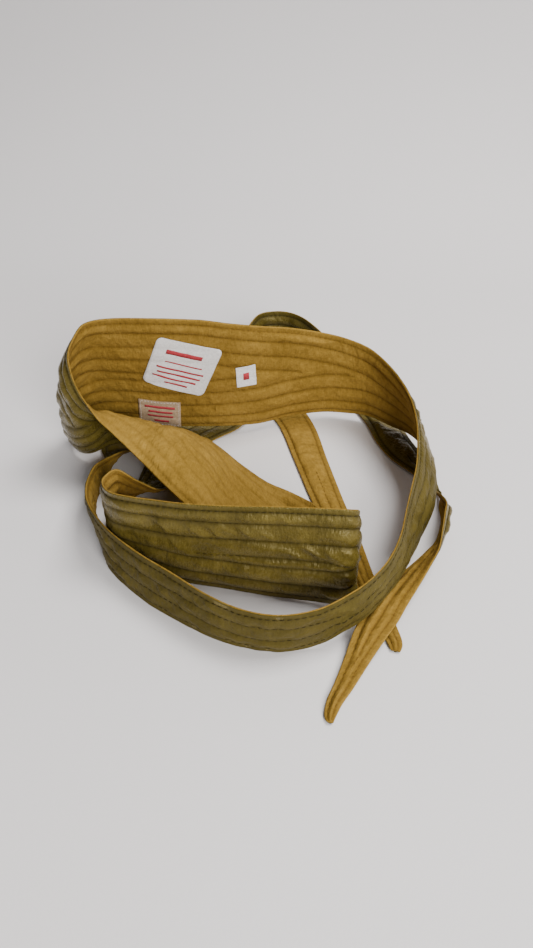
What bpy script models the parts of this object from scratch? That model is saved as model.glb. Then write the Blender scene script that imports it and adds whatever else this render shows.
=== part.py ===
"""Quilted fabric tie sash, standing on its edge in a loose coil.

Units are metres, +Z is up, and the origin is under the middle of the coil at the floor.
The sash is one long strip. It is widest at the middle and tapers to a narrow tie at each end.
Edge B is the lower edge of the wide back panel and edge T is its upper edge.
"""

import math

import bmesh
import bpy
import numpy as np

MM = 0.001

# Layers, measured along the strip's normal from its mid plane. Silk is on the + side.
GAP = 0.30 * MM
WADDING_HALF = 0.50 * MM
CLOTH = 0.40 * MM
THREAD_WIDTH = 0.60 * MM
THREAD_HEIGHT = 0.30 * MM
THREAD_GAP = 0.40 * MM
FACE = WADDING_HALF + GAP + CLOTH
THREAD_CROWN = FACE + THREAD_GAP + THREAD_HEIGHT

# Seams and quilting, measured in from the edges of the strip.
WADDING_INSET = 0.3 * MM
EDGE_SEAM = 3.5 * MM
CHANNEL_PITCH = 9.2 * MM
MIN_CHANNEL = 1.6 * MM
NARROWEST_QUILTED = 8.0 * MM
TIP_SEAM_SHARE = 0.3
CHANNELS_PER_SIDE = 4
FEWEST_RINGS = 6

# Mesh density.
RING_STEP = 15.0 * MM
RING_TURN = math.radians(24)
SPANS_ACROSS = 3
SPLINE_STEPS = 12
MITRE_LIMIT = 0.7
CROSSING_MARGIN = 0.05
SHARP_ANGLE = math.radians(50)

# The strip's path, in millimetres, from the tip of tie B to the tip of tie A. Each row is
# edge B (x, y, z), edge T (x, y, z) and the bow of the cross-section, positive towards the silk.
TIE_B = [
    (51.5, 171, 1.2, 55.5, 170, 1.2, 0),
    (50, 176, 1.2, 57, 174, 1.2, 0),
    (45.5, 185, 1.2, 56, 182, 1.2, 0),
    (37.5, 211, 1.2, 50, 209, 1.2, 0),
    (31, 237, 1.2, 45.5, 236, 1.2, 0),
    (23, 264, 1.2, 40, 263, 1.2, 0),
    (15, 298, 1.2, 34, 296, 1.2, 0),
    (8, 327, 1.2, 28, 330, 1.2, 0),
    (-1, 345, 1.2, 17, 355, 1.6, 0),
    (-14, 361, 1.2, -5, 378, 2, 0),
    (-36, 367, 1.2, -34, 387, 1.5, 0),
]
UNDER_PANEL = [
    (-58, 366, 0.5, -59, 377, 19, 0),
    (-76, 357, 0, -79, 360, 22, 0),
    (-88, 344, 1, -71, 348, 14, 0),
    (-91, 329, 2.2, -70, 331, 2.4, 0),
    (-94, 309, 1.9, -73, 306, 1.9, 0),
    (-88, 293, 1, -76, 286, 16, 0),
]
OUTER_BAND = [
    (-86, 279, 0, -85, 274, 19, 0),
    (-88.5, 266, 0, -87.5, 265, 21, 0),
    (-86, 250, 0, -87.5, 250, 22.5, 0),
    (-80, 235, 0, -82.5, 234, 25, 0),
    (-73, 217, 0, -70.5, 218, 24.5, 0),
    (-57, 200, 0, -55, 204, 24.5, 0),
    (-42, 189, 0, -40.5, 193, 25, 0),
    (-25, 179, 0, -24.5, 180.5, 25.5, 0),
    (-11, 173.5, 0, -10.5, 172.5, 26, 0),
    (5, 171, 0, 4.5, 168.5, 27, 0),
    (20, 172.5, 2, 20, 171, 27.5, 0),
    (32, 175.5, 7.5, 33, 177.5, 29, 0),
    (41, 181.5, 8.5, 43, 184.5, 31, 0),
    (50.5, 191.5, 9, 51.5, 195, 32, 0),
    (59, 203, 8.5, 58, 209, 32, 0),
    (68.5, 222, 4, 64, 229, 29, 0),
    (76.5, 238.5, 1.5, 68.5, 243.5, 28, 0),
    (83.5, 251, 6.5, 73.5, 260, 28, 0),
    (88.5, 271, 7.5, 76, 274, 31, 0),
    (90, 291.5, 5.5, 76.5, 284, 36.5, 0),
    (87, 307, 4.5, 75, 295, 42, 0),
]
BACK_PANEL = [
    (81.5, 318, 4, 71.5, 305.5, 46, 0),
    (72.5, 323.5, 5, 65.5, 318.5, 49, 0),
    (60.5, 333.5, 5, 57, 330, 52, 0),
    (47.5, 337.5, 4.5, 45.5, 335.5, 55, 0),
    (32.5, 338.5, 4.5, 31.5, 335.5, 59, 0),
    (13, 334, 4.5, 13, 328, 66, 0),
    (-4, 327, 4.5, -3, 319.5, 71.5, 0),
    (-21, 324, 5, -19, 312, 77, 0),
    (-36, 324, 4.5, -34.5, 309, 80.5, 0),
    (-57.5, 324.5, 4.5, -57, 306.5, 82.5, 0),
    (-79.5, 326, 6, -76, 306.5, 82.5, 0),
]
LEFT_TURN = [
    (-95.5, 326, 5, -86.5, 303, 82.5, 2),
    (-106, 322, 2, -91, 297.5, 81, 3.5),
    (-111, 315, 1, -94.4, 287, 75, 4.5),
    (-108, 306, 2.5, -93.5, 282, 67, 4),
    (-100.5, 298, 5, -91.5, 280.5, 58.5, 3),
    (-94, 296, 7.5, -88.5, 278.5, 52, -2),
]
FLOP = [
    (-87, 300, 9, -83, 275, 44, -10),
    (-79, 302, 9, -76, 272, 37.5, -12),
    (-62, 306, 6.5, -62, 261.5, 29, -14),
    (-45, 310.5, 5.5, -51.5, 251, 25, -13.5),
    (-30, 306, 5.5, -38, 237, 22, -8),
    (-15, 292.5, 2.5, -26, 226, 19, -2),
    (-1, 277, 3, -12, 217, 14, 0),
    (12, 266, 5, 0, 211, 9, 3),
    (23, 254, 8, 12, 209, 6, 4),
    (31, 237, 15, 23, 207, 4, 6),
    (35.8, 219, 31, 32, 206, 4, 6),
]
FRONT_PANEL = [
    (38, 206, 47.5, 38.5, 199, 3.5, 0),
    (34, 202.5, 51.5, 34, 193.5, 3, 0),
    (20, 203.5, 51.5, 20, 197, 1, 0),
    (0, 205, 51, 0, 201, 0, 0),
    (-17, 206.5, 50, -18, 205, 0, 0),
    (-34, 209.5, 48.5, -35.5, 208.5, 0, 0),
    (-48, 213.5, 47, -50, 213.5, 0, 0),
    (-60, 217, 46, -62, 218.5, 0, 0),
    (-68, 221, 45, -69, 223, 0, 0),
    (-72, 227, 44, -72.5, 229, 0, 0),
]
INNER_RETURN = [
    (-72, 232, 44, -75.5, 236, 0, 0),
    (-68, 240.5, 41, -76.5, 249, 0, 0),
    (-60, 244, 31, -73, 262, 0, 0),
    (-51, 255, 16, -69, 276, 1, 0),
    (-43, 275, 8, -66, 293, 2, 0),
    (-34, 309.5, 1.9, -55, 326, 1.9, 0),
    (-16, 326, 1.9, -35, 343, 1.9, 0),
]
ARCH = [
    (-8, 341, 3.6, -29, 353, 9, 0),
    (-9, 358, 5.8, -24, 363, 21, 0),
    (-13, 378, 5.8, -17, 380, 29, 0),
    (-11, 401, 3, -11, 404, 28, 0),
    (-4, 416, 1, -4.5, 419, 28, 0),
    (6, 420, 0, 6.5, 423, 28, 0),
    (16, 418, 0, 16, 421, 28, 0),
    (24, 412, 0, 24, 415, 27.5, 0),
    (31, 401, 0, 31, 403.5, 27.5, 0),
    (38, 386, 0, 39.5, 388, 26.5, 0),
    (46, 367, 0, 52, 370, 24, 0),
    (53, 348, 1, 66, 351, 10, 0),
    (59, 330, 1.9, 78, 334, 2.2, 0),
]
TIE_A = [
    (63, 312, 1.9, 82, 317, 2, 0),
    (69, 297, 1.9, 86.5, 302, 2, 0),
    (79, 283.5, 2.2, 90, 287, 1.9, 0),
    (85, 274.5, 2.2, 91, 277, 1.5, 0),
    (89.4, 267.9, 2.7, 91.2, 267.5, 1, 0),
    (89.4, 259, 8, 88.8, 259.5, 0, 1),
    (88.4, 249, 13, 88.1, 250.5, 0, 2),
    (86, 241, 14, 86, 243, 0, 2),
    (83, 230.5, 13.5, 82, 234, 0, 1.5),
    (79.5, 219, 12.5, 76, 227, 0.5, 1),
    (75.5, 212, 11, 68.5, 219, 1.2, 0.5),
    (68.5, 201, 9, 58, 207.5, 3.5, 0),
    (61, 190.5, 6, 48.5, 197.5, 5.2, 0),
    (56, 182.5, 5.2, 42, 187.5, 5.2, 0),
    (49.5, 173.5, 5.2, 36.5, 177.5, 5, 0),
    (42, 164, 2.2, 32, 167, 2, 0),
    (34.5, 153, 1.2, 27, 155.5, 1.2, 0),
    (29.5, 146, 1.2, 23.5, 148, 1.2, 0),
    (26.5, 140.5, 1.2, 22, 141.5, 1.2, 0),
    (25.3, 138, 1.2, 22.8, 138.5, 1.2, 0),
]
ROUTE = (TIE_B + UNDER_PANEL + OUTER_BAND + BACK_PANEL + LEFT_TURN + FLOP + FRONT_PANEL
         + INNER_RETURN + ARCH + TIE_A)

# Colours (linear RGB) and roughness of each material.
SILK = ((0.200, 0.170, 0.055), 0.45)
LINING = ((0.430, 0.280, 0.075), 0.90)
WADDING = ((0.850, 0.830, 0.760), 0.95)
THREAD = ((0.330, 0.230, 0.060), 0.60)
WHITE = ((0.850, 0.850, 0.840), 0.80)
BEIGE = ((0.620, 0.470, 0.300), 0.80)
WHITE_THREAD = ((0.800, 0.800, 0.780), 0.60)

# Labels sewn on the lining: place along the strip from the tip of tie B, height above edge B,
# size along and across the strip, and tilt in degrees.
LABELS = {
    "care_label": ((0.848, 0.048, 0.034, 0.034, -21), WHITE),
    "size_tab": ((0.814, 0.038, 0.011, 0.0135, 3), WHITE),
    "fibre_label": ((0.863, 0.0125, 0.023, 0.0205, -4), BEIGE),
}
LABEL_THICKNESS = 0.30 * MM
LABEL_LIFT = THREAD_CROWN + GAP
LABEL_SEAM = 1.2 * MM
LABEL_COLUMNS = 4
LABEL_ROWS = 3
SEAM_STEPS = 4


class Strip:
    """The sash's mid surface as a grid of nodes: rings along the route, columns across it.

    A node's normal points to the silk side and is long enough to hold a layer's thickness
    over a crease.
    """

    def __init__(self, rows):
        route = np.array(rows, dtype=float) * MM
        edge_b, edge_t, bow = pick_rings(spline(route, SPLINE_STEPS))
        tangent = unit(np.gradient((edge_b + edge_t) / 2, axis=0))
        bulge = unit(np.cross(tangent, edge_t - edge_b)) * bow[:, None]
        share = np.linspace(0, 1, SPANS_ACROSS + 1)[None, :, None]
        self.nodes = (edge_b[:, None] * (1 - share) + edge_t[:, None] * share
                      + bulge[:, None] * 4 * share * (1 - share))
        self.normals = node_normals(self.nodes)
        self.width = np.linalg.norm(edge_t - edge_b, axis=1)
        self.middle = (edge_b + edge_t) / 2
        steps = np.linalg.norm(np.diff(self.middle, axis=0), axis=1)
        self.along = np.concatenate([[0], np.cumsum(steps)])
        sides = np.stack([self.nodes + self.normals * lift for lift in (FACE, -THREAD_CROWN)])
        self.nodes[:, :, 2] += np.maximum(0, -sides[..., 2].min(axis=(0, 2)))[:, None]

    def facet(self, ring, u, share, lift):
        """A point on the layer at a lift, a part u of the way from one ring to the next.

        Each facet's diagonal runs from the first ring's lower node to the next ring's upper one.
        """
        column = min(int(share * SPANS_ACROSS), SPANS_ACROSS - 1)
        v = share * SPANS_ACROSS - column
        if v >= u:
            corners = ((ring, column, 1 - v), (ring, column + 1, v - u), (ring + 1, column + 1, u))
        else:
            corners = ((ring, column, 1 - u), (ring + 1, column, u - v), (ring + 1, column + 1, v))
        return sum((self.nodes[i, j] + self.normals[i, j] * lift) * part
                   for i, j, part in corners if part)

    def at(self, along, height, lift):
        """A point at a distance along the strip and a height above edge B, both in metres."""
        ring = int(np.clip(np.searchsorted(self.along, along) - 1, 0, len(self.along) - 2))
        u = (along - self.along[ring]) / (self.along[ring + 1] - self.along[ring])
        width = self.width[ring] * (1 - u) + self.width[ring + 1] * u
        return self.facet(ring, u, height / width, lift)


def node_normals(nodes):
    """The mean normal of the facets round each node, stretched to keep the facets' thickness."""
    rings, columns = nodes.shape[:2]
    touching = [[[] for _ in range(columns)] for _ in range(rings)]
    for i in range(rings - 1):
        for j in range(columns - 1):
            for trio in (((i, j), (i + 1, j), (i + 1, j + 1)), ((i, j), (i + 1, j + 1), (i, j + 1))):
                p, q, r = (nodes[place] for place in trio)
                facing = unit(np.cross(q - p, r - p))
                for row, column in trio:
                    touching[row][column].append(facing)
    normals = np.empty_like(nodes)
    for i in range(rings):
        for j in range(columns):
            mean = unit(np.sum(touching[i][j], axis=0))
            least = min(float(np.dot(mean, facing)) for facing in touching[i][j])
            normals[i, j] = mean / max(least, MITRE_LIMIT)
    return normals


def unit(vectors):
    return vectors / np.linalg.norm(vectors, axis=-1, keepdims=True)


def spline(points, parts):
    """Catmull-Rom curve through every row of points."""
    last = len(points) - 1
    rows = []
    for i in range(last):
        a, b, c, d = (points[min(max(k, 0), last)] for k in (i - 1, i, i + 1, i + 2))
        for step in range(parts):
            t = step / parts
            pull = (2 * b + (c - a) * t + (2 * a - 5 * b + 4 * c - d) * t * t
                    + (3 * b - a - 3 * c + d) * t ** 3)
            rows.append(pull / 2)
    rows.append(points[last])
    return np.array(rows)


def pick_rings(fine):
    """Keep a ring wherever the strip has run far enough, or turned far enough."""
    middle = (fine[:, 0:3] + fine[:, 3:6]) / 2
    heading = unit(np.gradient(middle, axis=0))
    across = unit(fine[:, 3:6] - fine[:, 0:3])
    kept = [0]
    for i in range(1, len(fine) - 1):
        ran = np.linalg.norm(middle[i] - middle[kept[-1]])
        turned = angle(heading[i], heading[kept[-1]]) + angle(across[i], across[kept[-1]])
        if ran > RING_STEP or turned > RING_TURN:
            kept.append(i)
    kept.append(len(fine) - 1)
    rings = fine[kept]
    return rings[:, 0:3], rings[:, 3:6], rings[:, 6]


def angle(a, b):
    return math.acos(float(np.clip(np.dot(a, b), -1, 1)))


def prism(sections):
    """One closed solid through a run of three-sided cross-sections."""
    faces = [(0, 1, 2)]
    for s in range(0, 3 * (len(sections) - 1), 3):
        for k in range(3):
            after = (k + 1) % 3
            faces.append((s + k, s + after, s + after + 3))
            faces.append((s + k, s + after + 3, s + k + 3))
    end = 3 * (len(sections) - 1)
    faces.append((end, end + 2, end + 1))
    return [tuple(p) for section in sections for p in section], faces


def slab(low, high):
    """One closed solid between two grids of points, low on the lining side of high."""
    rows, columns = len(low), len(low[0])
    total = rows * columns
    faces = []
    for i in range(rows - 1):
        for j in range(columns - 1):
            a = i * columns + j
            b, c, d = a + columns, a + columns + 1, a + 1
            faces.append((a + total, b + total, c + total))
            faces.append((a + total, c + total, d + total))
            faces.append((a, c, b))
            faces.append((a, d, c))
    rim = [(i, 0) for i in range(rows)] + [(rows - 1, j) for j in range(1, columns)]
    rim += [(i, columns - 1) for i in range(rows - 2, -1, -1)]
    rim += [(0, j) for j in range(columns - 2, 0, -1)]
    loop = [i * columns + j for i, j in rim]
    for p, q in zip(loop, loop[1:] + loop[:1]):
        faces.append((p, q, q + total))
        faces.append((p, q + total, p + total))
    return [tuple(p) for grid in (low, high) for row in grid for p in row], faces


def layer(strip, inset, low, high):
    """A cloth or wadding layer between two lifts, set in from both edges of the strip."""
    grids = []
    for lift in (low, high):
        grid = []
        for ring in range(len(strip.width) - 1):
            grid.append(ring_row(strip, ring, 0, inset, lift))
        grid.append(ring_row(strip, ring, 1, inset, lift))
        grids.append(grid)
    return slab(*grids)


def ring_row(strip, ring, u, inset, lift):
    """The points of one ring, with the outer two moved in from the edges."""
    edge = inset / strip.width[ring + u]
    shares = [edge] + [c / SPANS_ACROSS for c in range(1, SPANS_ACROSS)] + [1 - edge]
    return [strip.facet(ring, u, share, lift) for share in shares]


def thread(strip, rings, height_of):
    """A laid thread on the lining: a thin three-sided prism at a height above edge B per ring."""
    sections = []
    for ring, after in zip(rings, rings[1:]):
        start, end = (height_of(strip.width[i]) / strip.width[i] for i in (ring, after))
        for u in facet_crossings(start, end):
            sections.append(thread_section(strip, ring, u, start + (end - start) * u))
    sections.append(thread_section(strip, rings[-2], 1, end))
    return prism(sections)


def thread_section(strip, ring, u, share):
    half = THREAD_WIDTH / 2 / strip.width[ring]
    base = -(FACE + THREAD_GAP)
    return [strip.facet(ring, u, share - half, base),
            strip.facet(ring, u, share + half, base),
            strip.facet(ring, u, share, -THREAD_CROWN)]


def facet_crossings(start, end):
    """Where a line from share start to share end meets a ring, a column or a diagonal."""
    breaks = [0.0, 1.0]
    for column in range(1, SPANS_ACROSS):
        if (column / SPANS_ACROSS - start) * (column / SPANS_ACROSS - end) < 0:
            breaks.append((column / SPANS_ACROSS - start) / (end - start))
    breaks.sort()
    met = []
    for first, last in zip(breaks, breaks[1:]):
        met.append(first)
        middle = start + (end - start) * (first + last) / 2
        span = int(middle * SPANS_ACROSS)
        rise = (end - start) * SPANS_ACROSS
        u = (start * SPANS_ACROSS - span) / (1 - rise)
        if first + CROSSING_MARGIN < u < last - CROSSING_MARGIN:
            met.append(u)
    return met


def runs(flags):
    """Unbroken runs of enough true flags to carry a thread, as lists of places."""
    found, current = [], []
    for place, flag in enumerate(list(flags) + [False]):
        if flag:
            current.append(place)
        else:
            if len(current) >= FEWEST_RINGS:
                found.append(current)
            current = []
    return found


def channel_heights():
    """Quilting lines: height above edge B as a function of the strip's width, and its range.

    The lines run parallel to the nearer edge. Where the strip narrows, the inner ones end in
    turn: a line from edge T meets its own pair, and a line from edge B the next one out.
    """
    lines = []
    for number in range(1, CHANNELS_PER_SIDE + 1):
        step = number * CHANNEL_PITCH
        pair = 2 * step + MIN_CHANNEL
        from_b = pair if number == 1 else pair - CHANNEL_PITCH
        lines.append((lambda width, step=step: step, from_b, math.inf))
        lines.append((lambda width, step=step: width - step, pair, math.inf))
    lines.append((lambda width: width / 2, NARROWEST_QUILTED, 2 * CHANNEL_PITCH + MIN_CHANNEL))
    return lines


def edge_heights():
    """Heights of the two edge seams above edge B; they draw together at the tips."""
    def seam(width):
        return min(EDGE_SEAM, width * TIP_SEAM_SHARE)
    return [(seam, 0, math.inf), (lambda width: width - seam(width), 0, math.inf)]


def threads(strip, name, lines):
    """Named threads along some lines, each wherever the strip is wide enough for it."""
    named = {}
    for height_of, low, high in lines:
        for rings in runs((strip.width >= low) & (strip.width < high)):
            named[f"{name}_{len(named) + 1:02d}"] = thread(strip, rings, height_of)
    return named


def label(strip, place):
    """A label's patch on the lining, as a closed slab that follows the strip."""
    grids = []
    for lift in (LABEL_LIFT + LABEL_THICKNESS, LABEL_LIFT):
        grids.append([[label_point(strip, place, 0.5 - c / LABEL_COLUMNS, r / LABEL_ROWS - 0.5, lift)
                       for r in range(LABEL_ROWS + 1)] for c in range(LABEL_COLUMNS + 1)])
    return slab(*grids)


def label_point(strip, place, u, v, lift):
    """A point of a label, at shares u and v of its length and height from its middle."""
    along, height, long, tall, tilt = place
    x, y = u * long, v * tall
    turn = math.radians(tilt)
    run = x * math.cos(turn) - y * math.sin(turn)
    rise = x * math.sin(turn) + y * math.cos(turn)
    return strip.at(along - run, height + rise, -lift)


def label_seam(strip, place):
    """The thread that sews a label down: a closed frame a little inside its outline."""
    long, tall = place[2:4]
    half_u = 0.5 - LABEL_SEAM / long
    half_v = 0.5 - LABEL_SEAM / tall
    corners = [(-half_u, -half_v), (half_u, -half_v), (half_u, half_v), (-half_u, half_v)]
    outline = []
    for (u0, v0), (u1, v1) in zip(corners, corners[1:] + corners[:1]):
        for step in range(SEAM_STEPS):
            part = step / SEAM_STEPS
            outline.append((u0 + (u1 - u0) * part, v0 + (v1 - v0) * part))
    base = LABEL_LIFT + LABEL_THICKNESS + GAP
    sections = []
    for u, v in outline:
        shrink_u = 1 - THREAD_WIDTH / long / half_u
        shrink_v = 1 - THREAD_WIDTH / tall / half_v
        middle_u, middle_v = (1 + shrink_u) / 2, (1 + shrink_v) / 2
        sections.append([label_point(strip, place, u, v, base),
                         label_point(strip, place, u * shrink_u, v * shrink_v, base),
                         label_point(strip, place, u * middle_u, v * middle_v,
                                     base + THREAD_HEIGHT)])
    return ring_prism(sections)


def ring_prism(sections):
    """A closed loop of cross-sections."""
    count = len(sections[0])
    total = len(sections)
    faces = []
    for s in range(total):
        after = (s + 1) % total
        for k in range(count):
            a, b = s * count + k, s * count + (k + 1) % count
            c, d = after * count + (k + 1) % count, after * count + k
            faces.append((a, b, c))
            faces.append((a, c, d))
    return [tuple(p) for section in sections for p in section], faces


def material(name, colour, roughness):
    made = bpy.data.materials.new(name)
    made.use_nodes = True
    shader = made.node_tree.nodes["Principled BSDF"]
    shader.inputs["Base Color"].default_value = (*colour, 1)
    shader.inputs["Roughness"].default_value = roughness
    return made


def add_object(name, solid, shift, finish):
    """Put one sub-part in the scene, moved to the sash's own origin."""
    points, faces = solid
    mesh = bpy.data.meshes.new(name)
    mesh.from_pydata([tuple(np.array(p) - shift) for p in points], [], faces)
    shape = bmesh.new()
    shape.from_mesh(mesh)
    bmesh.ops.recalc_face_normals(shape, faces=shape.faces)
    shape.to_mesh(mesh)
    shape.free()
    mesh.shade_smooth()
    mesh.set_sharp_from_angle(angle=SHARP_ANGLE)
    mesh.materials.append(material(name, *finish))
    bpy.context.scene.collection.objects.link(bpy.data.objects.new(name, mesh))


def parts(strip):
    """Every sub-part: its solid and its finish."""
    both_cloths = WADDING_HALF + GAP
    made = {
        "silk_shell": (layer(strip, 0, both_cloths, FACE), SILK),
        "wadding": (layer(strip, WADDING_INSET, -WADDING_HALF, WADDING_HALF), WADDING),
        "cotton_lining": (layer(strip, 0, -FACE, -both_cloths), LINING),
    }
    for name, lines in (("quilting_thread", channel_heights()), ("edge_thread", edge_heights())):
        for number, solid in threads(strip, name, lines).items():
            made[number] = (solid, THREAD)
    for name, (place, finish) in LABELS.items():
        made[name] = (label(strip, place), finish)
        made[name + "_thread"] = (label_seam(strip, place), WHITE_THREAD)
    return made


def build():
    for old in list(bpy.data.objects):
        bpy.data.objects.remove(old)
    made = parts(Strip(ROUTE))
    every_point = np.array([p for solid, _ in made.values() for p in solid[0]])
    low, high = every_point.min(axis=0), every_point.max(axis=0)
    shift = np.array([(low[0] + high[0]) / 2, (low[1] + high[1]) / 2, low[2]])
    for name, (solid, finish) in made.items():
        add_object(name, solid, shift, finish)


build()
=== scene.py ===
"""The looks of the quilted wrap belt: cloth, stitches, labels, floor, lights and camera.

Everything follows the same route as the CAD strip, in metres, in the CAD frame. Silk is on the
strip's + side and the cotton lining on its - side.
"""
import math
from collections import namedtuple

import bpy
import numpy as np
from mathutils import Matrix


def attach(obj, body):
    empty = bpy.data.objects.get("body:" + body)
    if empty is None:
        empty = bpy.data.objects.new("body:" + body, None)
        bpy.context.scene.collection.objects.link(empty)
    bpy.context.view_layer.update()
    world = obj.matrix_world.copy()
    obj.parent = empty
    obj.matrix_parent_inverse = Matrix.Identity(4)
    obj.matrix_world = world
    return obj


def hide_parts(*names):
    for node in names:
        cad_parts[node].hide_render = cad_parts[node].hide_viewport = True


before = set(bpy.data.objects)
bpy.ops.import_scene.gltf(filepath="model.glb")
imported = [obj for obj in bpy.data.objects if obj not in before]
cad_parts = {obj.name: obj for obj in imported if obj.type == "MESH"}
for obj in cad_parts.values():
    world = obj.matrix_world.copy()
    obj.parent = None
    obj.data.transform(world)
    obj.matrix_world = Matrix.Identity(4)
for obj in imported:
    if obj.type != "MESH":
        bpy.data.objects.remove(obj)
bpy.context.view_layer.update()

MM = 0.001
# Middle of the coil in the route's own coordinates; the CAD frame has it at x = y = 0.
COIL_MIDDLE = np.array([-10.1, 281.3, 0.0]) * MM

# The strip's path, in millimetres, from the tip of tie B to the tip of tie A. Each row is
# edge B (x, y, z), edge T (x, y, z) and the bow of the cross-section, positive towards the silk.
TIE_B = [
    (51.5, 171, 1.2, 55.5, 170, 1.2, 0),
    (50, 176, 1.2, 57, 174, 1.2, 0),
    (45.5, 185, 1.2, 56, 182, 1.2, 0),
    (37.5, 211, 1.2, 50, 209, 1.2, 0),
    (31, 237, 1.2, 45.5, 236, 1.2, 0),
    (23, 264, 1.2, 40, 263, 1.2, 0),
    (15, 298, 1.2, 34, 296, 1.2, 0),
    (8, 327, 1.2, 28, 330, 1.2, 0),
    (-1, 345, 1.2, 17, 355, 1.6, 0),
    (-14, 361, 1.2, -5, 378, 2, 0),
    (-36, 367, 1.2, -34, 387, 1.5, 0),
]
UNDER_PANEL = [
    (-58, 366, 0.5, -59, 377, 19, 0),
    (-76, 357, 0, -79, 360, 22, 0),
    (-88, 344, 1, -71, 348, 14, 0),
    (-91, 329, 2.2, -70, 331, 2.4, 0),
    (-94, 309, 1.9, -73, 306, 1.9, 0),
    (-88, 293, 1, -76, 286, 16, 0),
]
OUTER_BAND = [
    (-86, 279, 0, -85, 274, 19, 0),
    (-88.5, 266, 0, -87.5, 265, 21, 0),
    (-86, 250, 0, -87.5, 250, 22.5, 0),
    (-80, 235, 0, -82.5, 234, 25, 0),
    (-73, 217, 0, -70.5, 218, 24.5, 0),
    (-57, 200, 0, -55, 204, 24.5, 0),
    (-42, 189, 0, -40.5, 193, 25, 0),
    (-25, 179, 0, -24.5, 180.5, 25.5, 0),
    (-11, 173.5, 0, -10.5, 172.5, 26, 0),
    (5, 171, 0, 4.5, 168.5, 27, 0),
    (20, 172.5, 2, 20, 171, 27.5, 0),
    (32, 175.5, 7.5, 33, 177.5, 29, 0),
    (41, 181.5, 8.5, 43, 184.5, 31, 0),
    (50.5, 191.5, 9, 51.5, 195, 32, 0),
    (59, 203, 8.5, 58, 209, 32, 0),
    (68.5, 222, 4, 64, 229, 29, 0),
    (76.5, 238.5, 1.5, 68.5, 243.5, 28, 0),
    (83.5, 251, 6.5, 73.5, 260, 28, 0),
    (88.5, 271, 7.5, 76, 274, 31, 0),
    (90, 291.5, 5.5, 76.5, 284, 36.5, 0),
    (87, 307, 4.5, 75, 295, 42, 0),
]
BACK_PANEL = [
    (81.5, 318, 4, 71.5, 305.5, 46, 0),
    (72.5, 323.5, 5, 65.5, 318.5, 49, 0),
    (60.5, 333.5, 5, 57, 330, 52, 0),
    (47.5, 337.5, 4.5, 45.5, 335.5, 55, 0),
    (32.5, 338.5, 4.5, 31.5, 335.5, 59, 0),
    (13, 334, 4.5, 13, 328, 66, 0),
    (-4, 327, 4.5, -3, 319.5, 71.5, 0),
    (-21, 324, 5, -19, 312, 77, 0),
    (-36, 324, 4.5, -34.5, 309, 80.5, 0),
    (-57.5, 324.5, 4.5, -57, 306.5, 82.5, 0),
    (-79.5, 326, 6, -76, 306.5, 82.5, 0),
]
LEFT_TURN = [
    (-95.5, 326, 5, -86.5, 303, 82.5, 2),
    (-106, 322, 2, -91, 297.5, 81, 3.5),
    (-111, 315, 1, -94.4, 287, 75, 4.5),
    (-108, 306, 2.5, -93.5, 282, 67, 4),
    (-100.5, 298, 5, -91.5, 280.5, 58.5, 3),
    (-94, 296, 7.5, -88.5, 278.5, 52, -2),
]
FLOP = [
    (-87, 300, 9, -83, 275, 44, -10),
    (-79, 302, 9, -76, 272, 37.5, -12),
    (-62, 306, 6.5, -62, 261.5, 29, -14),
    (-45, 310.5, 5.5, -51.5, 251, 25, -13.5),
    (-30, 306, 5.5, -38, 237, 22, -8),
    (-15, 292.5, 2.5, -26, 226, 19, -2),
    (-1, 277, 3, -12, 217, 14, 0),
    (12, 266, 5, 0, 211, 9, 3),
    (23, 254, 8, 12, 209, 6, 4),
    (31, 237, 15, 23, 207, 4, 6),
    (35.8, 219, 31, 32, 206, 4, 6),
]
FRONT_PANEL = [
    (38, 206, 47.5, 38.5, 199, 3.5, 0),
    (34, 202.5, 51.5, 34, 193.5, 3, 0),
    (20, 203.5, 51.5, 20, 197, 1, 0),
    (0, 205, 51, 0, 201, 0, 0),
    (-17, 206.5, 50, -18, 205, 0, 0),
    (-34, 209.5, 48.5, -35.5, 208.5, 0, 0),
    (-48, 213.5, 47, -50, 213.5, 0, 0),
    (-60, 217, 46, -62, 218.5, 0, 0),
    (-68, 221, 45, -69, 223, 0, 0),
    (-72, 227, 44, -72.5, 229, 0, 0),
]
INNER_RETURN = [
    (-72, 232, 44, -75.5, 236, 0, 0),
    (-68, 240.5, 41, -76.5, 249, 0, 0),
    (-60, 244, 31, -73, 262, 0, 0),
    (-51, 255, 16, -69, 276, 1, 0),
    (-43, 275, 8, -66, 293, 2, 0),
    (-34, 309.5, 1.9, -55, 326, 1.9, 0),
    (-16, 326, 1.9, -35, 343, 1.9, 0),
]
ARCH = [
    (-8, 341, 3.6, -29, 353, 9, 0),
    (-9, 358, 5.8, -24, 363, 21, 0),
    (-13, 378, 5.8, -17, 380, 29, 0),
    (-11, 401, 3, -11, 404, 28, 0),
    (-4, 416, 1, -4.5, 419, 28, 0),
    (6, 420, 0, 6.5, 423, 28, 0),
    (16, 418, 0, 16, 421, 28, 0),
    (24, 412, 0, 24, 415, 27.5, 0),
    (31, 401, 0, 31, 403.5, 27.5, 0),
    (38, 386, 0, 39.5, 388, 26.5, 0),
    (46, 367, 0, 52, 370, 24, 0),
    (53, 348, 1, 66, 351, 10, 0),
    (59, 330, 1.9, 78, 334, 2.2, 0),
]
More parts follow.
